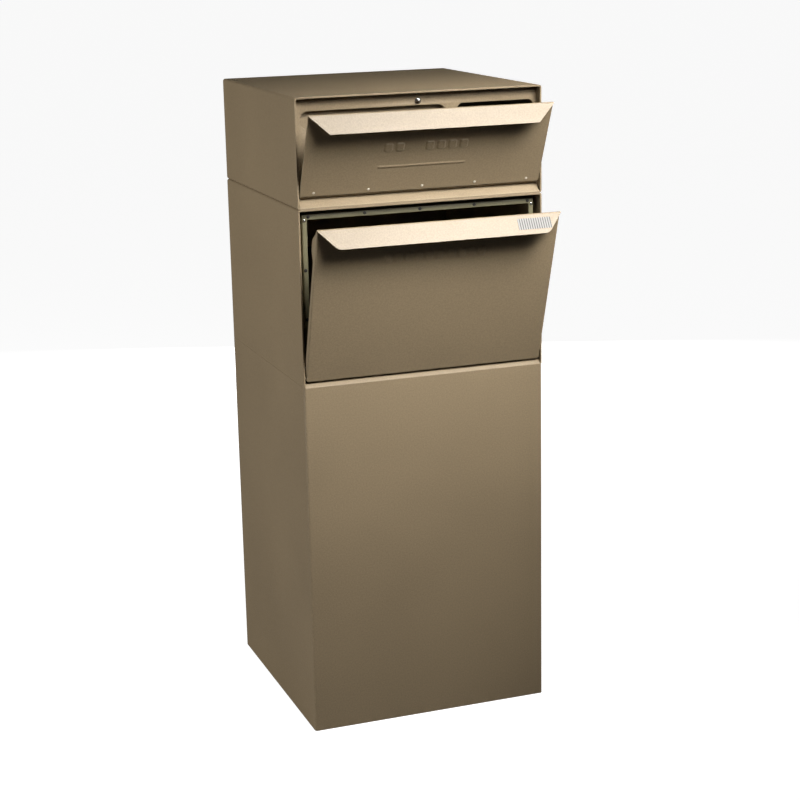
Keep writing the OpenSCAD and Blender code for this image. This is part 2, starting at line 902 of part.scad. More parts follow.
pedestal_shell();
base_plate();
parcel_shell();
mail_shell();
weld_beads();
module_bolts();
module_nuts();
mail_sill();
mail_face_panel();
flap_catch();
catch_nut();
incoming_baffle();
outgoing_box();
flap_hinge_fixed_leaf();
flap_hinge_pin();
flap_hinge_leaf();
mail_flap();
flap_rivets();
parcel_sill();
parcel_frame();
frame_screws();
frame_corner_screws();
parcel_door();
pivot_ears();
pivot_bushes();
pivot_studs();
front_link_pin();
tray_rod();
tray_brackets();
drop_tray();
tray_lever();
rear_link_pin();
tray_link();
rear_deflector();
parcel_rear_panel();
vault_rear_frame();
vault_rear_door();
vault_fixed_leaf();
vault_door_leaf();
vault_hinge_pin();
vault_lock_body();
vault_lock_nut();
vault_lock_plug();
vault_lock_cam();
vault_cam_screw();
mail_rear_frame();
mail_rear_door();
mail_fixed_leaf();
mail_door_leaf();
mail_hinge_pin();
mail_lock_body();
mail_lock_nut();
mail_lock_plug();
mail_lock_cam();
mail_cam_screw();
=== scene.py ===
"""The looks of a free-standing mail and parcel drop cabinet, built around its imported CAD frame.

Metres, +Z up, front towards -Y. Every piece takes its place from the frame's boxes and joints.
"""

import json
import math

import bmesh
import bpy
from mathutils import Matrix, Vector


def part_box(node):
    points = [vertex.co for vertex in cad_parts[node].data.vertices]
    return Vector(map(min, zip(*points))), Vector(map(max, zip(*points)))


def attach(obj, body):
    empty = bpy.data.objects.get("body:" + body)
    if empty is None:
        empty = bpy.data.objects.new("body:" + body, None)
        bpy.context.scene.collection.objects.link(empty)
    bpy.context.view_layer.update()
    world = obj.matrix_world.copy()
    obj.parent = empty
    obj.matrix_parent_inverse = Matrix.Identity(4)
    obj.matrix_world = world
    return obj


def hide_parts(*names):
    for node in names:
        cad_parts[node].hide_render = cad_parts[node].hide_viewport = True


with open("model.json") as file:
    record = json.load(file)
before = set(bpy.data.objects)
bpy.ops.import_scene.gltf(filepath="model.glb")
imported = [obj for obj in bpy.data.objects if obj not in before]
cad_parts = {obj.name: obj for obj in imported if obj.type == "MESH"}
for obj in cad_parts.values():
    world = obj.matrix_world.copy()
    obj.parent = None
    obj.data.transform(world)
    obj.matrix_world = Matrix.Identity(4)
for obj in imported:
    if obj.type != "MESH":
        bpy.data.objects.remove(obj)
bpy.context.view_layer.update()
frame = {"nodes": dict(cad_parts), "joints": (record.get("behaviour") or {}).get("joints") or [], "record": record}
nodes = frame["nodes"]
joints = {j["name"]: j for j in frame["joints"]}
MM = 0.001


# ---------------------------------------------------------------- node materials

class Graph:
    """A short way to add and link shader nodes in one material."""

    def __init__(self, name):
        self.material = bpy.data.materials.new(name)
        self.material.use_nodes = True
        self.tree = self.material.node_tree
        self.shader = self.tree.nodes["Principled BSDF"]
        self.place = self.add("ShaderNodeTexCoord").outputs["Object"]

    def add(self, kind, **settings):
        node = self.tree.nodes.new(kind)
        for key, value in settings.items():
            setattr(node, key, value)
        return node

    def link(self, source, target):
        self.tree.links.new(source, target)

    def noise(self, scale, detail=2.0, roughness=0.5, stretch=None):
        node = self.add("ShaderNodeTexNoise")
        node.inputs["Scale"].default_value = scale
        node.inputs["Detail"].default_value = detail
        node.inputs["Roughness"].default_value = roughness
        source = self.place
        if stretch:
            mapping = self.add("ShaderNodeMapping")
            mapping.inputs["Scale"].default_value = stretch
            self.link(self.place, mapping.inputs["Vector"])
            source = mapping.outputs["Vector"]
        self.link(source, node.inputs["Vector"])
        return node.outputs["Fac"]

    def ramp(self, source, low, high, at=(0.3, 0.7)):
        node = self.add("ShaderNodeValToRGB")
        for element, position, value in zip(node.color_ramp.elements, at, (low, high)):
            element.position = position
            element.color = (*value, 1.0) if hasattr(value, "__len__") else (value, value, value, 1.0)
        self.link(source, node.inputs["Fac"])
        return node.outputs["Color"]

    def mix(self, factor, a, b, blend="MIX"):
        node = self.add("ShaderNodeMix", data_type="RGBA", blend_type=blend)
        for value, socket in ((factor, node.inputs[0]), (a, node.inputs[6]), (b, node.inputs[7])):
            if hasattr(value, "is_linked"):
                self.link(value, socket)
            elif hasattr(value, "__len__"):
                socket.default_value = (*value, 1.0)
            else:
                socket.default_value = value
        return node.outputs[2]

    def bump(self, height, strength, distance, normal=None):
        node = self.add("ShaderNodeBump")
        node.inputs["Strength"].default_value = strength
        node.inputs["Distance"].default_value = distance
        self.link(height, node.inputs["Height"])
        if normal:
            self.link(normal, node.inputs["Normal"])
        return node.outputs["Normal"]

    def edges(self, radius):
        """1 on convex and concave edges, 0 on flats, from a rounded normal."""
        rounded = self.add("ShaderNodeBevel", samples=4)
        rounded.inputs["Radius"].default_value = radius
        flat = self.add("ShaderNodeNewGeometry")
        dot = self.add("ShaderNodeVectorMath", operation="DOT_PRODUCT")
        self.link(rounded.outputs["Normal"], dot.inputs[0])
        self.link(flat.outputs["Normal"], dot.inputs[1])
        return self.ramp(dot.outputs["Value"], 1.0, 0.0, at=(0.80, 0.99))


def powder_coat(name, colour, roughness=0.46, peel=1.0, mottle=0.07):
    """Satin textured powder coat: fine peel, faint mottling, speckle and a painted highlight along edges."""
    g = Graph(name)
    broad = g.noise(2.6, detail=3.0)
    fine = g.noise(900.0, detail=2.0, roughness=0.7)
    speck = g.noise(2600.0, detail=1.0)
    dark = tuple(c * (1.0 - mottle) for c in colour)
    light = tuple(c * (1.0 + mottle) for c in colour)
    base = g.ramp(broad, dark, light, at=(0.35, 0.65))
    grain = g.ramp(speck, (0.86, 0.86, 0.87), (1.10, 1.10, 1.08), at=(0.35, 0.65))
    base = g.mix(0.65, base, grain, "MULTIPLY")
    cells = g.noise(420.0, detail=3.0, roughness=0.65)
    flake = g.ramp(cells, (0.90, 0.90, 0.90), (1.08, 1.08, 1.08), at=(0.38, 0.62))
    base = g.mix(0.8, base, flake, "MULTIPLY")
    # Lighter colour on convex and concave edges: a painted edge highlight.
    edge_highlight_colour = tuple(min(1.0, c * 1.45 + 0.02) for c in colour)
    base = g.mix(g.ramp(g.edges(0.0007), 0.0, 0.45, at=(0.2, 1.0)), base, edge_highlight_colour)
    g.link(base, g.shader.inputs["Base Color"])
    g.link(g.ramp(fine, roughness - 0.05, roughness + 0.07), g.shader.inputs["Roughness"])
    wave = g.bump(g.noise(7.0, detail=1.0), 0.10, 0.004)
    skin = g.bump(fine, 0.40 * peel, 0.0004, wave)
    g.link(g.bump(speck, 0.20 * peel, 0.0002, skin), g.shader.inputs["Normal"])
    g.shader.inputs["Specular IOR Level"].default_value = 0.42
    g.shader.inputs["Coat Weight"].default_value = 0.03
    g.shader.inputs["Coat Roughness"].default_value = 0.30
    return g.material


def plated(name, colour, roughness=0.30, brush=(60.0, 60.0, 900.0)):
    """Plated or machined metal with a faint drawn grain and cloudy passivation."""
    g = Graph(name)
    cloud = g.noise(38.0, detail=3.0)
    grain = g.noise(6.0, detail=4.0, roughness=0.8, stretch=brush)
    dull = tuple(c * 0.80 for c in colour)
    g.link(g.ramp(cloud, dull, colour), g.shader.inputs["Base Color"])
    g.link(g.ramp(grain, roughness - 0.08, roughness + 0.12), g.shader.inputs["Roughness"])
    g.link(g.bump(grain, 0.12, 0.0002), g.shader.inputs["Normal"])
    g.shader.inputs["Metallic"].default_value = 1.0
    return g.material


def moulded(name, colour, roughness=0.5):
    """Moulded nylon with a fine spark-eroded grain."""
    g = Graph(name)
    fine = g.noise(700.0, detail=2.0)
    shade = tuple(c * 0.90 for c in colour)
    g.link(g.ramp(g.noise(30.0), shade, colour), g.shader.inputs["Base Color"])
    g.link(g.ramp(fine, roughness - 0.05, roughness + 0.08), g.shader.inputs["Roughness"])
    g.link(g.bump(fine, 0.2, 0.0002), g.shader.inputs["Normal"])
    return g.material


def paper_label(name, paper, ink):
    """A paper label with plain even bars, which stand for no code."""
    g = Graph(name)
    split = g.add("ShaderNodeSeparateXYZ")
    g.link(g.place, split.inputs[0])
    bars = g.add("ShaderNodeMath", operation="SINE")
    scale = g.add("ShaderNodeMath", operation="MULTIPLY")
    scale.inputs[1].default_value = 2.0 * math.pi / (3.8 * MM)
    g.link(split.outputs["X"], scale.inputs[0])
    g.link(scale.outputs[0], bars.inputs[0])
    fibre = g.noise(1500.0)
    tint = g.ramp(fibre, tuple(c * 0.94 for c in paper), paper)
    g.link(g.mix(g.ramp(bars.outputs[0], 0.0, 0.85, at=(0.20, 0.50)), tint, ink), g.shader.inputs["Base Color"])
    g.shader.inputs["Roughness"].default_value = 0.6
    return g.material


TAUPE = (0.248, 0.187, 0.111)
MATERIALS = {
    "powder_coat": powder_coat("powder_coat", TAUPE),
    "olive_paint": powder_coat("olive_paint", (0.150, 0.135, 0.075), roughness=0.5),
    "zinc_steel": plated("zinc_steel", (0.62, 0.61, 0.58), 0.34),
    "bright_steel": plated("bright_steel", (0.86, 0.85, 0.83), 0.18),
    "black_screws": powder_coat("black_screws", (0.022, 0.021, 0.020), roughness=0.4),
    "nylon": moulded("nylon", (0.78, 0.76, 0.68)),
    "brass": plated("brass", (0.80, 0.60, 0.27), 0.28),
}
# The body coat at 0.30 of its colour: painted shade for parts that sit in the unlit inside.
PAINTED_SHADE_COAT = powder_coat("painted_shade_coat", tuple(c * 0.30 for c in TAUPE), roughness=0.55)
slot_of = {s["node"]: s["material_slot"] for s in frame["record"]["subparts"]}


def dress(obj, material):
    obj.data.materials.clear()
    obj.data.materials.append(material)


def soften(obj, width, angle=40.0, segments=2):
    """Rounds an object's sharp edges a little and shades its curves smooth."""
    bevel = obj.modifiers.new("edge", "BEVEL")
    bevel.width = width
    bevel.segments = segments
    bevel.limit_method = "ANGLE"
    bevel.angle_limit = math.radians(angle)
    bevel.harden_normals = False
    obj.data.shade_smooth()
    obj.data.set_sharp_from_angle(angle=math.radians(angle))


for name, node in nodes.items():
    dress(node, MATERIALS[slot_of[name]])

# Inside parts that get the darker coat as painted shade.
PAINTED_SHADE_INSIDE = ("rear_deflector", "drop_tray", "tray_lever", "tray_brackets",
               "vault_rear_frame", "mail_rear_frame", "base_plate", "outgoing_box")


# ---------------------------------------------------------------- sheet metal shapes

def add_slab(bm, front, back, ring=False):
    """Closes two equal grids of points, rows by columns, into one solid sheet."""
    n_rows, n_cols = len(front), len(front[0])
    tops = [[bm.verts.new(p) for p in row] for row in front]
    unders = [[bm.verts.new(p) for p in row] for row in back]
    spans = n_rows if ring else n_rows - 1
    for i in range(spans):
        j = (i + 1) % n_rows
        for k in range(n_cols - 1):
            bm.faces.new((tops[i][k], tops[j][k], tops[j][k + 1], tops[i][k + 1]))
            bm.faces.new((unders[i][k], unders[i][k + 1], unders[j][k + 1], unders[j][k]))
        for k in (0, n_cols - 1):
            bm.faces.new((tops[i][k], unders[i][k], unders[j][k], tops[j][k]))
    if not ring:
        for i in (0, n_rows - 1):
            for k in range(n_cols - 1):
                bm.faces.new((tops[i][k], tops[i][k + 1], unders[i][k + 1], unders[i][k]))


def bent_path(points, radii, steps=8):
    """Points and normals along a centreline whose inner corners are arcs; a closed line repeats no point."""
    closed = len(radii) == len(points)
    count = len(points)
    corners = range(count) if closed else range(1, count - 1)
    out = []

    def left_of(d):
        return Vector((-d.y, d.x))

    vectors = [Vector(p) for p in points]
    if not closed:
        first = (vectors[1] - vectors[0]).normalized()
        out.append((vectors[0], left_of(first)))
    for c, i in enumerate(corners):
        before = (vectors[i] - vectors[i - 1]).normalized()
        after = (vectors[(i + 1) % count] - vectors[i]).normalized()
        turn = math.atan2(before.x * after.y - before.y * after.x, before.dot(after))
        radius = radii[c]
        reach = radius * math.tan(abs(turn) / 2)
        side = math.copysign(1.0, turn)
        centre = vectors[i] - before * reach + left_of(before) * radius * side
        for k in range(steps + 1):
            normal = Matrix.Rotation(turn * k / steps, 2) @ left_of(before)
            out.append((centre - normal * radius * side, normal))
    if not closed:
        last = (vectors[-1] - vectors[-2]).normalized()
        out.append((vectors[-1], left_of(last)))
    return out


def finish_piece(name, bm, body, material, node=None, edge=0.0003, matrix=None):
    """Turns a bmesh into a piece that rides on its body and replaces its CAD node."""
    bmesh.ops.recalc_face_normals(bm, faces=bm.faces)
    if matrix:
        bm.transform(matrix)
    mesh = bpy.data.meshes.new(name)
    bm.to_mesh(mesh)
    bm.free()
    obj = bpy.data.objects.new(name, mesh)
    bpy.context.scene.collection.objects.link(obj)
    dress(obj, material)
    if edge:
        soften(obj, edge)
    else:
        mesh.shade_smooth()
        mesh.set_sharp_from_angle(angle=math.radians(40))
    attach(obj, body)
    if node:
        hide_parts(node)


def path_grids(path, thickness, widths, place):
    """Two grids of a sheet that follows path, with the given positions across it."""
    front = [[place(p + n * thickness / 2, w) for w in widths] for p, n in path]
    back = [[place(p - n * thickness / 2, w) for w in widths] for p, n in path]
    return front, back


def spread(lo, hi, step):
    count = max(1, round((hi - lo) / step))
    return [lo + (hi - lo) * i / count for i in range(count + 1)]


def round_rect(x0, z0, x1, z1, radius, steps=10):
    """Corner points of a rectangle with round corners, counter-clockwise."""
    out = []
    for cx, cz, start in ((x1 - radius, z0 + radius, -90), (x1 - radius, z1 - radius, 0),
                          (x0 + radius, z1 - radius, 90), (x0 + radius, z0 + radius, 180)):
        for k in range(steps + 1):
            a = math.radians(start + 90 * k / steps)
            out.append((cx + radius * math.cos(a), cz + radius * math.sin(a)))
    return out


def circle_points(x, z, radius, steps=32):
    return [(x + radius * math.cos(2 * math.pi * k / steps), z + radius * math.sin(2 * math.pi * k / steps))
            for k in range(steps)]


CUT_EDGE = 0.3 * MM


def cut_plate(name, outlines, y0, y1, material, node):
    """An upright plate from y0 to y1 with the first outline as its edge and the rest as holes.

    Blender rounds a hole inwards, so each hole is drawn larger by CUT_EDGE."""
    curve = bpy.data.curves.new(name, "CURVE")
    curve.dimensions = "2D"
    curve.fill_mode = "BOTH"
    curve.extrude = (y1 - y0) / 2 - CUT_EDGE
    curve.bevel_depth = CUT_EDGE
    curve.bevel_resolution = 2
    for outline in outlines:
        spline = curve.splines.new("POLY")
        spline.points.add(len(outline) - 1)
        for point, (x, z) in zip(spline.points, outline):
            point.co = (x, z, 0, 1)
        spline.use_cyclic_u = True
    shape = bpy.data.objects.new(name + "_curve", curve)
    bpy.context.scene.collection.objects.link(shape)
    bpy.context.view_layer.update()
    mesh = bpy.data.meshes.new_from_object(shape.evaluated_get(bpy.context.evaluated_depsgraph_get()))
    bpy.data.objects.remove(shape)
    bm = bmesh.new()
    bm.from_mesh(mesh)
    bpy.data.meshes.remove(mesh)
    bmesh.ops.remove_doubles(bm, verts=bm.verts, dist=1e-6)
    bm.transform(Matrix.Translation((0, (y0 + y1) / 2, 0)) @ Matrix.Rotation(math.radians(90), 4, "X"))
    finish_piece(name, bm, "cabinet", material, node, edge=0)


def lathe(bm, profile, place, steps=24):
    """A closed turned solid: profile gives radius and height, place(x, z, height) gives the point."""
    rings = []
    for radius, height in profile:
        if radius < 1e-7:
            rings.append([bm.verts.new(place(0.0, 0.0, height))])
        else:
            rings.append([bm.verts.new(place(x, z, height)) for x, z in circle_points(0.0, 0.0, radius, steps)])
    for a, b in zip(rings, rings[1:]):
        for k in range(steps):
            j = (k + 1) % steps
            corners = [a[k % len(a)], a[j % len(a)], b[j % len(b)], b[k % len(b)]]
            bm.faces.new(list(dict.fromkeys(corners)))


def facing_front(x, y, z):
    """Places a turned part on an axis along Y, its height growing towards the front."""
    return lambda u, v, height: Vector((x + u, y - height, z + v))


# ---------------------------------------------------------------- the three shells

SHELL_T = 2.7 * MM
PANEL_T = 2.0 * MM
BEND_R = 4.0 * MM
EDGE = 0.45 * MM


def along_z(p, w):
    return Vector((p.x, p.y, w))


def along_y(p, w):
    return Vector((p.x, w, p.y))


def along_x(p, w):
    return Vector((w, p.x, p.y))


def shell_piece(name, node, corners, closed, place, lo, hi, axis_step):
    """A bent shell along one axis, its centreline given by corner points."""
    radius = BEND_R - SHELL_T / 2
    radii = [radius] * (len(corners) if closed else len(corners) - 2)
    path = bent_path(corners, radii)
    bm = bmesh.new()
    add_slab(bm, *path_grids(path, SHELL_T, spread(lo, hi, axis_step), place), ring=closed)
    finish_piece(name, bm, "cabinet", MATERIALS["powder_coat"], node, edge=EDGE)


def make_shells():
    h = SHELL_T / 2
    (x0, y0, z0), (x1, y1, z1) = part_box("pedestal_shell")
    shell_piece("pedestal_casing", "pedestal_shell",
                [(x0 + h, y1), (x0 + h, y0 + h), (x1 - h, y0 + h), (x1 - h, y1)],
                False, along_z, z0, z1, 0.08)
    (x0, y0, z0), (x1, y1, z1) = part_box("parcel_shell")
    shell_piece("parcel_casing", "parcel_shell",
                [(x0 + h, z0), (x0 + h, z1 - h), (x1 - h, z1 - h), (x1 - h, z0)],
                False, along_y, y0, y1, 0.08)
    (x0, y0, z0), (x1, y1, z1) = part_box("mail_shell")
    shell_piece("mail_casing", "mail_shell",
                [(x0 + h, z0 + h), (x0 + h, z1 - h), (x1 - h, z1 - h), (x1 - h, z0 + h)],
                True, along_y, y0, y1, 0.08)


# ---------------------------------------------------------------- flap and door

def ease(t):
    """A smooth step from 0 to 1."""
    t = min(max(t, 0.0), 1.0)
    return t * t * (3 - 2 * t)


def pressed_bar(x, s, half_w, half_h, height, soft):
    """Height at (x, s) of a blank raised bar with round corners, centred on the origin."""
    corner = min(half_w, half_h, 3.5 * MM)
    dx = max(abs(x) - (half_w - corner), 0.0)
    ds = max(abs(s) - (half_h - corner), 0.0)
    inside = min(corner - math.hypot(dx, ds), half_w - abs(x), half_h - abs(s))
    return height * ease(inside / soft)


def raised_row(z, groups, left, block_w, block_h, gap, word_gap, height):
    """Blank raised blocks in a row, in groups with a wider gap between them. They spell nothing."""
    row, x = [], left
    for count in groups:
        for _ in range(count):
            row.append((x + block_w / 2, z, block_w / 2, block_h / 2, height))
            x += block_w + gap
        x += word_gap
    return row


def swing(joint):
    """The transform that carries a closed door or flap to where it rests, and its hinge axis."""
    j = joints[joint]
    open_angle = -math.radians(j["range_deg"][0])
    return Matrix.Translation(j["pos_m"]) @ Matrix.Rotation(open_angle, 4, "X")


def lipped_sheet(bm, mid_y, foot, top, lip, angle, inset, half_w, flat_w, reliefs, corner, lip_corner):
    """An upright sheet with a lip folded forwards and down from its top edge.

    flat_w(z) is the half width of the upright part; reliefs are pressed bars (x, z, half_w, half_h, height)."""
    path = lip_path(mid_y, foot, top, lip, angle)
    bend_start, bend_end = path[1], path[-2]
    rows = [(foot + corner * (1 - math.cos(math.pi / 2 * k / 6)), None) for k in range(6)]
    heights = set()
    for _x, z, _w, bar_h, _height in reliefs:
        heights.update(round(v, 5) for v in spread(z - bar_h - 0.001, z + bar_h + 0.001, 0.0008))
    heights.update(round(v, 5) for v in spread(foot + corner, bend_start[0].y, 0.008))
    upright = [(Vector((mid_y, z)), bend_start[1], flat_w(z), z) for z, _ in rows]
    upright += [(Vector((mid_y, z)), bend_start[1], flat_w(z), z) for z in sorted(heights)]
    bend = [(p, n, half_w, None) for p, n in path[2:-2]]
    lip_vector = path[-1][0] - bend_end[0]
    lip_rows = []
    samples = [k / 10 for k in range(11)] + [1 - (1 - k / 6) * lip_corner / lip_vector.length for k in range(6)]
    for u in sorted(set(round(v, 5) for v in samples)):
        width = half_w - inset * u
        from_end = (1 - u) * lip_vector.length
        if from_end < lip_corner:
            width -= 0.6 * (lip_corner - math.sqrt(lip_corner ** 2 - (lip_corner - from_end) ** 2))
        lip_rows.append((bend_end[0] + lip_vector * u, bend_end[1], width, None))
    reach = max([abs(x) + bar_w for x, _z, bar_w, _h, _d in reliefs], default=0.0) + 0.002
    across = sorted(set([round(v, 4) for v in spread(-1.0, 1.0, 0.1)]
                        + [round(v / half_w, 4) for v in spread(-reach, reach, 0.0012)]))
    front, back = [], []
    for p, n, width, z in upright + bend + lip_rows:
        row_front, row_back = [], []
        for u in across:
            x = u * width
            rise = sum(pressed_bar(x - bx, z - bz, bw, bh, h, 0.0016) for bx, bz, bw, bh, h in reliefs) if z else 0.0
            q = Vector((p.x - rise, p.y))
            row_front.append(along_x(q + n * PANEL_T / 2, x))
            row_back.append(along_x(q - n * PANEL_T / 2, x))
        front.append(row_front)
        back.append(row_back)
    add_slab(bm, front, back)


FLAP_LIP, FLAP_LIP_ANGLE, FLAP_LIP_INSET = 31 * MM, 131, 28 * MM
DOOR_LIP, DOOR_LIP_ANGLE, DOOR_LIP_INSET = 33.9 * MM, 128, 26 * MM
FOLD_R = 1.8 * MM
DOOR_DEPTH = 8.5 * MM


def door_top():
    """Height of the parcel door's fold above its hinge axis."""
    axis = joints["parcel_door_hinge"]["pos_m"]
    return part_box("parcel_shell")[1][2] - SHELL_T - axis[2] - PANEL_T / 2 - 0.6 * MM


def lip_path(mid_y, foot, top, lip, angle):
    """Centreline of a sheet that stands on foot and folds forwards and down at its top."""
    a = math.radians(angle)
    end = (mid_y - lip * math.sin(a), top + lip * math.cos(a))
    apex = top + FOLD_R * (math.tan(a / 2) - 1)
    return bent_path([(mid_y, foot), (mid_y, apex), end], [FOLD_R], steps=12)


def make_mail_flap():
    rear, foot = -3.0 * MM, 3.2 * MM
    half_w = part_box("mail_flap")[1][0]
    axis = joints["mail_flap_hinge"]["pos_m"]
    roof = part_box("mail_shell")[1][2] - SHELL_T
    top = roof - 4.8 * MM - axis[2]
    corner = 0.6 * MM
    bm = bmesh.new()
    bars = raised_row(78.5 * MM, [2, 4], -69 * MM, 13.5 * MM, 15 * MM, 4.5 * MM, 29.5 * MM, 1.2 * MM)
    bars.append((-6 * MM, 46 * MM, 70 * MM, 2.2 * MM, 0.8 * MM))

    def flat_w(z):
        return half_w - max(0.0, foot + corner - z)

    lipped_sheet(bm, rear - PANEL_T / 2, foot, top, FLAP_LIP, FLAP_LIP_ANGLE, FLAP_LIP_INSET, half_w,
                 flat_w, bars, corner, 0.8 * MM)
    finish_piece("mail_flap_panel", bm, "mail_flap", MATERIALS["powder_coat"], "mail_flap",
                 edge=0.3 * MM, matrix=swing("mail_flap_hinge"))


def make_parcel_door():
    mid_y = -DOOR_DEPTH + PANEL_T / 2
    foot = -4.0 * MM
    corner_r = 5.0 * MM
    edge_r = 2.5 * MM
    half_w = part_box("parcel_door")[1][0]
    top = door_top()
    fold_lo, fold_hi = foot + corner_r + 1 * MM, top - 4 * MM
    bm = bmesh.new()

    def flat_w(z):
        if z < foot + corner_r:
            return half_w - corner_r + math.sqrt(max(corner_r ** 2 - (foot + corner_r - z) ** 2, 0))
        return half_w - edge_r if fold_lo < z < fold_hi else half_w

    bars = raised_row(196.5 * MM, [6, 4], -84 * MM, 12 * MM, 16 * MM, 4 * MM, 5 * MM, 1.2 * MM)
    lipped_sheet(bm, mid_y, foot, top, DOOR_LIP, DOOR_LIP_ANGLE, DOOR_LIP_INSET, half_w,
                 flat_w, bars, corner_r, 7 * MM)

    tab_top = fold_hi - 22 * MM

    def return_depth(z):
        body, tab = 8 * MM, 17.5 * MM
        if z > tab_top:
            return tab + (4 * MM - tab) * ease((z - tab_top) / (fold_hi - tab_top))
        return body + (tab - body) * ease((z - tab_top + 32 * MM) / (20 * MM))

    heights = sorted(set(spread(fold_lo, tab_top - 34 * MM, 0.01) + spread(tab_top - 34 * MM, fold_hi, 0.0015)))
    for side in (-1, 1):
        front, back = [], []
        for z in heights:
            edge_x = half_w - PANEL_T / 2
            outline = bent_path([(half_w - edge_r, mid_y), (edge_x, mid_y), (edge_x, -DOOR_DEPTH + return_depth(z))],
                                [edge_r - PANEL_T / 2], steps=6)
            for rows, h in ((front, -PANEL_T / 2), (back, PANEL_T / 2)):
                rows.append([Vector((side * (p + n * h).x, (p + n * h).y, z)) for p, n in outline])
        add_slab(bm, front, back)
    finish_piece("parcel_door_panel", bm, "parcel_door", MATERIALS["powder_coat"], "parcel_door",
                 edge=0.3 * MM, matrix=swing("parcel_door_hinge"))


# ---------------------------------------------------------------- front panel, frame and fasteners

def plate_box(node):
    """Lowest and highest corner of an upright plate node, as six numbers."""
    (x0, y0, z0), (x1, y1, z1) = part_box(node)
    return x0, y0, z0, x1, y1, z1


# How far the slots start below the panel's top and in from its ends
SLOT_DROP, IN_SLOT_EDGE, OUT_SLOT_EDGE = 19.3 * MM, 8.3 * MM, 6.3 * MM


def make_face_panel():
    x0, y0, z0, x1, y1, z1 = plate_box("mail_face_panel")
    slot_top = z1 - SLOT_DROP
    grow = CUT_EDGE
    in_x, out_x = x0 + IN_SLOT_EDGE, x1 - OUT_SLOT_EDGE
    in_w, in_h, out_w, out_h = 231 * MM, 27 * MM, 124 * MM, 78 * MM
    pin_r, pin_z = 3.05 * MM, slot_top + 7 * MM
    cut_plate("mail_face", [
        round_rect(x0, z0, x1, z1, 2 * MM),
        round_rect(in_x - grow, slot_top - in_h - grow, in_x + in_w + grow, slot_top + grow, in_h / 2),
        round_rect(out_x - out_w - grow, slot_top - out_h - grow, out_x + grow, slot_top + grow, 8 * MM + grow),
        circle_points(0.0, pin_z, pin_r + grow),
    ], y0, y1, MATERIALS["powder_coat"], "mail_face_panel")


def make_parcel_sill():
    """The folded sill under the parcel door: a slope at the front, a raised seat, then the ledge."""
    (x0, y0, z0), (x1, y1, z1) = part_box("parcel_sill")
    h = PANEL_T / 2
    line = [(y0 + 0.2 * MM, z0 - 0.1 * MM), (y0 + 6.1 * MM, z1 + 0.1 * MM), (y0 + 10.1 * MM, z1 + 0.5 * MM),
            (y0 + 15.6 * MM, z1 + 2.4 * MM), (y0 + 20 * MM, z1), (y1, z1)]
    path = bent_path([(y, z - h) for y, z in line], [1.6 * MM, 3 * MM, 6 * MM, 1.8 * MM, 3 * MM], steps=5)
    bm = bmesh.new()
    add_slab(bm, *path_grids(path, PANEL_T, spread(x0, x1, 0.05), along_x))
    finish_piece("parcel_sill_fold", bm, "cabinet", MATERIALS["powder_coat"], "parcel_sill",
                 edge=0.25 * MM)


def make_parcel_frame():
    """The inner frame: a Z section bent round the head and down both sides, with mitred corners."""
    x0, y0, z0, x1, y1, z1 = plate_box("parcel_frame")
    gap, rail = 6 * MM, 8 * MM
    h = PANEL_T / 2
    section = bent_path([(gap + rail, y0 + h), (gap + h, y0 + h), (gap + h, y1 - h), (0.6 * MM, y1 - h)],
                        [1.6 * MM, 1.6 * MM], steps=5)
    bm = bmesh.new()
    front, back = [], []
    for p, n in section:
        for rows, q in ((front, p + n * h), (back, p - n * h)):
            inset, y = q.x, q.y
            line = [Vector((x0 + inset, y, z)) for z in spread(z0, z1 - inset - 2 * MM, 0.03)]
            line += [Vector((x, y, z1 - inset)) for x in spread(x0 + inset, x1 - inset, 0.03)]
            line += [Vector((x1 - inset, y, z)) for z in reversed(spread(z0, z1 - inset - 2 * MM, 0.03))]
            rows.append(line)
    add_slab(bm, front, back)
    finish_piece("parcel_seal_frame", bm, "cabinet", MATERIALS["olive_paint"], "parcel_frame",
                 edge=0.25 * MM)


SCREW_PROFILE = [(0.0, -3.0), (1.5, -3.0), (1.5, 0.0), (2.6, 0.0), (2.6, 0.35), (2.3, 0.78), (1.7, 1.0), (0.95, 1.0),
                 (0.55, 0.35), (0.0, 0.25)]


def make_screws(name, node, slot):
    """Pan head screws with a driving recess, one for each solid of a CAD node."""
    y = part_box("parcel_frame")[0][1]
    bm = bmesh.new()
    for x, z in solid_centres(node):
        lathe(bm, [(r * MM, h * MM) for r, h in SCREW_PROFILE], facing_front(x, y, z), steps=16)
    finish_piece(name, bm, "cabinet", MATERIALS[slot], node, edge=0)


def solid_centres(node):
    """X and Z of the middle of each separate solid of a CAD node."""
    bm = bmesh.new()
    bm.from_mesh(nodes[node].data)
    bmesh.ops.remove_doubles(bm, verts=bm.verts, dist=1e-6)
    left, centres = set(bm.verts), []
    while left:
        group, edge = set(), [left.pop()]
        while edge:
            v = edge.pop()
            group.add(v)
            near = [e.other_vert(v) for e in v.link_edges if e.other_vert(v) in left]
            left.difference_update(near)
            edge.extend(near)
        for axis in (0, 2):
            values = [v.co[axis] for v in group]
            centres.append((min(values) + max(values)) / 2)
    bm.free()
    return list(zip(centres[0::2], centres[1::2]))


RIVET_PROFILE = [(0.0, -0.4), (1.6, -0.4), (2.0, 0.0), (1.92, 0.3), (1.5, 0.52), (0.8, 0.67), (0.0, 0.7)]


def make_rivets():
    """Five domed rivet heads along the foot of the mail flap."""
    y = -5.0 * MM
    z = (3.2 + 5.5) * MM
    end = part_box("mail_flap")[1][0] - 21 * MM
    bm = bmesh.new()
    for x in spread(-end, end, end / 2):
        lathe(bm, [(r * MM, h * MM) for r, h in RIVET_PROFILE], facing_front(x, y, z))
    # A lighter, glossier coat on the rivet domes: a painted highlight.
    rivet_highlight = powder_coat("rivet_highlight_coat", (0.62, 0.56, 0.46), roughness=0.28)
    finish_piece("mail_flap_rivets", bm, "mail_flap", rivet_highlight, "flap_rivets",
                 edge=0, matrix=swing("mail_flap_hinge"))


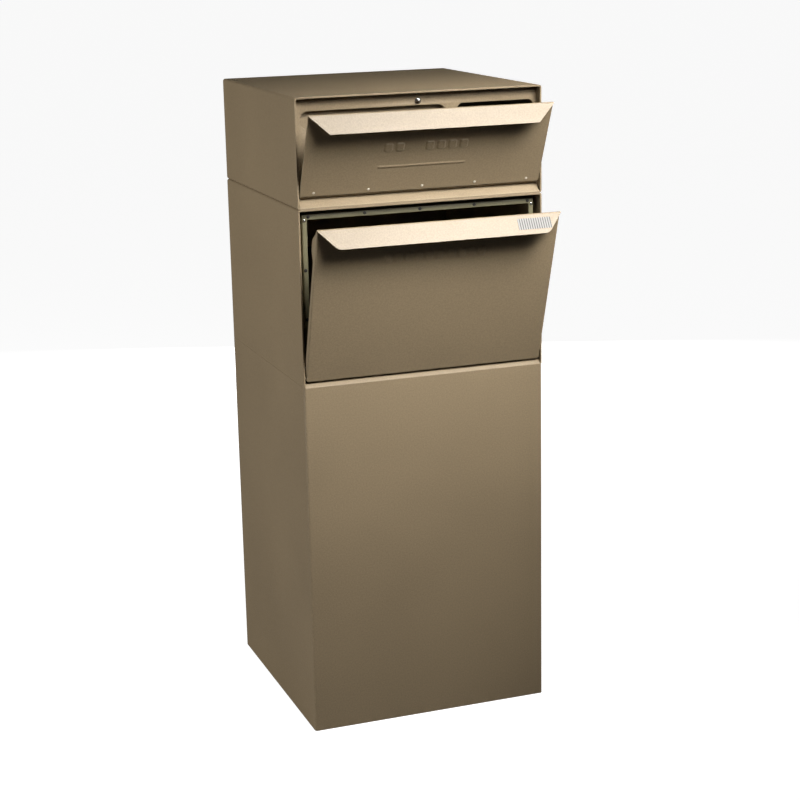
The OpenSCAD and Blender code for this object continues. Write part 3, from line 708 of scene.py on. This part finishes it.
def make_catch():
    """The turned catch pin at the top of the mail front, with its flange and a rounded nose."""
    (x0, y0, z0), (x1, y1, z1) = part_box("flap_catch")
    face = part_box("mail_face_panel")[0][1]
    nose, tail, r, flange = face - y0, face - y1, 3 * MM, 5 * MM
    profile = [(0.0, tail), (r, tail), (r, 0.0), (flange, 0.0), (flange, 0.7 * MM), (flange - 0.3 * MM, 1 * MM),
               (r, 1 * MM), (0.72 * r, 1.4 * MM), (0.72 * r, nose - 2.6 * MM), (r, nose - 2.0 * MM),
               (r, nose - 1.0 * MM), (0.8 * r, nose - 0.3 * MM), (0.4 * r, nose), (0.0, nose)]
    bm = bmesh.new()
    lathe(bm, profile, facing_front(0.0, face, (z0 + z1) / 2))
    finish_piece("mail_catch_pin", bm, "cabinet", MATERIALS["bright_steel"], "flap_catch", edge=0)


def make_weld_beads():
    """A rippled bead along the seam on each side of the cabinet."""
    (x0, y0, z0), (x1, y1, z1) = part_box("weld_beads")
    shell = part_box("pedestal_shell")[1][0]
    bm = bmesh.new()
    for side in (-1, 1):
        front, back = [], []
        for y in spread(y0, y1, 0.7 * MM):
            end = min(y - y0, y1 - y) / (3 * MM)
            swell = min(1.0, 0.25 + end) * (0.82 + 0.18 * abs(math.sin(y / (2.2 * MM) * math.pi)))
            row = []
            for a in spread(-90, 90, 30):
                bulge = (x1 - shell) * swell * math.cos(math.radians(a))
                rise = (z1 - z0) / 2 * swell * math.sin(math.radians(a))
                row.append(Vector((side * (shell + bulge), y, (z0 + z1) / 2 + rise)))
            front.append(row)
            back.append([Vector((side * (shell - 0.3 * MM), p.y, p.z)) for p in row])
        add_slab(bm, front, back)
    finish_piece("seam_weld_beads", bm, "cabinet", MATERIALS["powder_coat"], "weld_beads", edge=0)


def make_label():
    """A small paper label with plain bars on the right end of the parcel door's lip."""
    top = door_top()
    thick = 0.15 * MM
    path = lip_path(-DOOR_DEPTH + PANEL_T / 2, top - 12 * MM, top, DOOR_LIP, DOOR_LIP_ANGLE)
    along = path[-1][0] - path[-2][0]
    start, normal = path[-2]
    rows = [(start + along * u, normal) for u in spread(0.17, 0.74, 0.06)]
    bm = bmesh.new()
    outer = PANEL_T / 2 + thick
    widths = spread(119 * MM, 173 * MM, 5 * MM)
    front = [[along_x(p - n * outer, w) for w in widths] for p, n in rows]
    back = [[along_x(p - n * (PANEL_T / 2 + 0.02 * MM), w) for w in widths] for p, n in rows]
    add_slab(bm, front, back)
    paper = paper_label("paper_label", (0.235, 0.225, 0.205), (0.02, 0.018, 0.015))
    finish_piece("lip_label", bm, "parcel_door", paper, None, edge=0, matrix=swing("parcel_door_hinge"))


# ---------------------------------------------------------------- stage, light and camera

FLOOR_GLOW = 0.93


def make_stage():
    floor_mesh = bpy.data.meshes.new("floor")
    size = 90.0
    floor_mesh.from_pydata([(-size, -size, 0), (size, -size, 0), (size, size, 0), (-size, size, 0)], [],
                           [(0, 1, 2, 3)])
    floor = bpy.data.objects.new("floor", floor_mesh)
    bpy.context.scene.collection.objects.link(floor)
    floor.location.z = -0.0002
    g = Graph("studio_floor")
    seen = g.add("ShaderNodeLightPath").outputs["Is Camera Ray"]
    g.link(g.mix(seen, (0.16, 0.155, 0.15), (0.40, 0.40, 0.40)), g.shader.inputs["Base Color"])
    g.link(g.mix(seen, (0.0, 0.0, 0.0), (FLOOR_GLOW, FLOOR_GLOW, FLOOR_GLOW)), g.shader.inputs["Emission Color"])
    g.shader.inputs["Emission Strength"].default_value = 1.0
    g.shader.inputs["Roughness"].default_value = 0.9
    g.shader.inputs["Specular IOR Level"].default_value = 0.0
    dress(floor, g.material)


def area_light(name, place, target, size, power, colour=(1, 1, 1), spread=180):
    data = bpy.data.lights.new(name, "AREA")
    data.shape = "RECTANGLE"
    data.spread = math.radians(spread)
    data.size, data.size_y = size
    data.energy = power
    data.color = colour
    lamp = bpy.data.objects.new(name, data)
    lamp.location = place
    lamp.rotation_euler = (Vector(target) - Vector(place)).to_track_quat("-Z", "Y").to_euler()
    bpy.context.scene.collection.objects.link(lamp)


AMBIENT = 0.03


def make_light():
    world = bpy.data.worlds.new("studio")
    bpy.context.scene.world = world
    world.use_nodes = True
    tree = world.node_tree
    tree.nodes["Background"].inputs["Strength"].default_value = 1.0
    shade = tree.nodes.new("ShaderNodeMix")
    shade.data_type = "RGBA"
    shade.inputs[6].default_value = (AMBIENT, AMBIENT, AMBIENT, 1.0)
    shade.inputs[7].default_value = (1.0, 1.0, 1.0, 1.0)
    tree.links.new(tree.nodes.new("ShaderNodeLightPath").outputs["Is Camera Ray"], shade.inputs[0])
    tree.links.new(shade.outputs[2], tree.nodes["Background"].inputs["Color"])
    area_light("key", (0.34, -0.92, 1.50), (0.0, -0.2, 0.70), (0.8, 0.5), 5.3, (0.99, 0.99, 1.0), spread=60)
    area_light("kicker", (0.9, -1.2, 1.5), (0.0, -0.2, 0.7), (0.7, 0.5), 0.7, spread=70)
    area_light("side", (-2.3, 0.05, 1.0), (0.0, 0.0, 0.6), (1.5, 1.5), 40.0, (1.0, 0.99, 0.98))
    area_light("rear", (0.9, 2.4, 0.4), (0.0, 0.1, 0.6), (1.6, 0.7), 40.0, (1.0, 0.99, 0.98))
    bpy.context.scene.view_settings.view_transform = "Standard"


# The camera fitted to the cabinet's edges: place, yaw, pitch and roll
CAMERA_PLACE = (-0.989, -2.806, 1.239)
CAMERA_YAW, CAMERA_PITCH, CAMERA_ROLL = 19.95, -14.41, -1.20
SENSOR, LENS = 36.0, 83.43


def make_camera():
    data = bpy.data.cameras.new("camera")
    data.sensor_width = SENSOR
    data.lens = LENS
    camera = bpy.data.objects.new("camera", data)
    yaw, pitch, roll = (math.radians(v) for v in (CAMERA_YAW, CAMERA_PITCH, CAMERA_ROLL))
    ahead = Vector((math.sin(yaw) * math.cos(pitch), math.cos(yaw) * math.cos(pitch), math.sin(pitch)))
    right = Vector((math.cos(yaw), -math.sin(yaw), 0.0))
    up = right.cross(ahead)
    tilted_right = right * math.cos(roll) + up * math.sin(roll)
    tilted_up = up * math.cos(roll) - right * math.sin(roll)
    turn = Matrix((tilted_right, tilted_up, -ahead)).transposed()
    camera.matrix_world = Matrix.Translation(CAMERA_PLACE) @ turn.to_4x4()
    bpy.context.scene.collection.objects.link(camera)
    bpy.context.scene.camera = camera


make_stage()
make_light()
make_camera()
make_shells()
make_mail_flap()
make_parcel_door()
make_face_panel()
make_parcel_sill()
make_parcel_frame()
make_screws("frame_black_screws", "frame_screws", "black_screws")
make_screws("frame_bright_screws", "frame_corner_screws", "bright_steel")
make_rivets()
make_catch()
make_weld_beads()
make_label()
# Paint shade onto the inside parts with the darker coat.
for name in PAINTED_SHADE_INSIDE:
    dress(nodes[name], PAINTED_SHADE_COAT)
for name, node in nodes.items():
    soften(node, 0.0003)
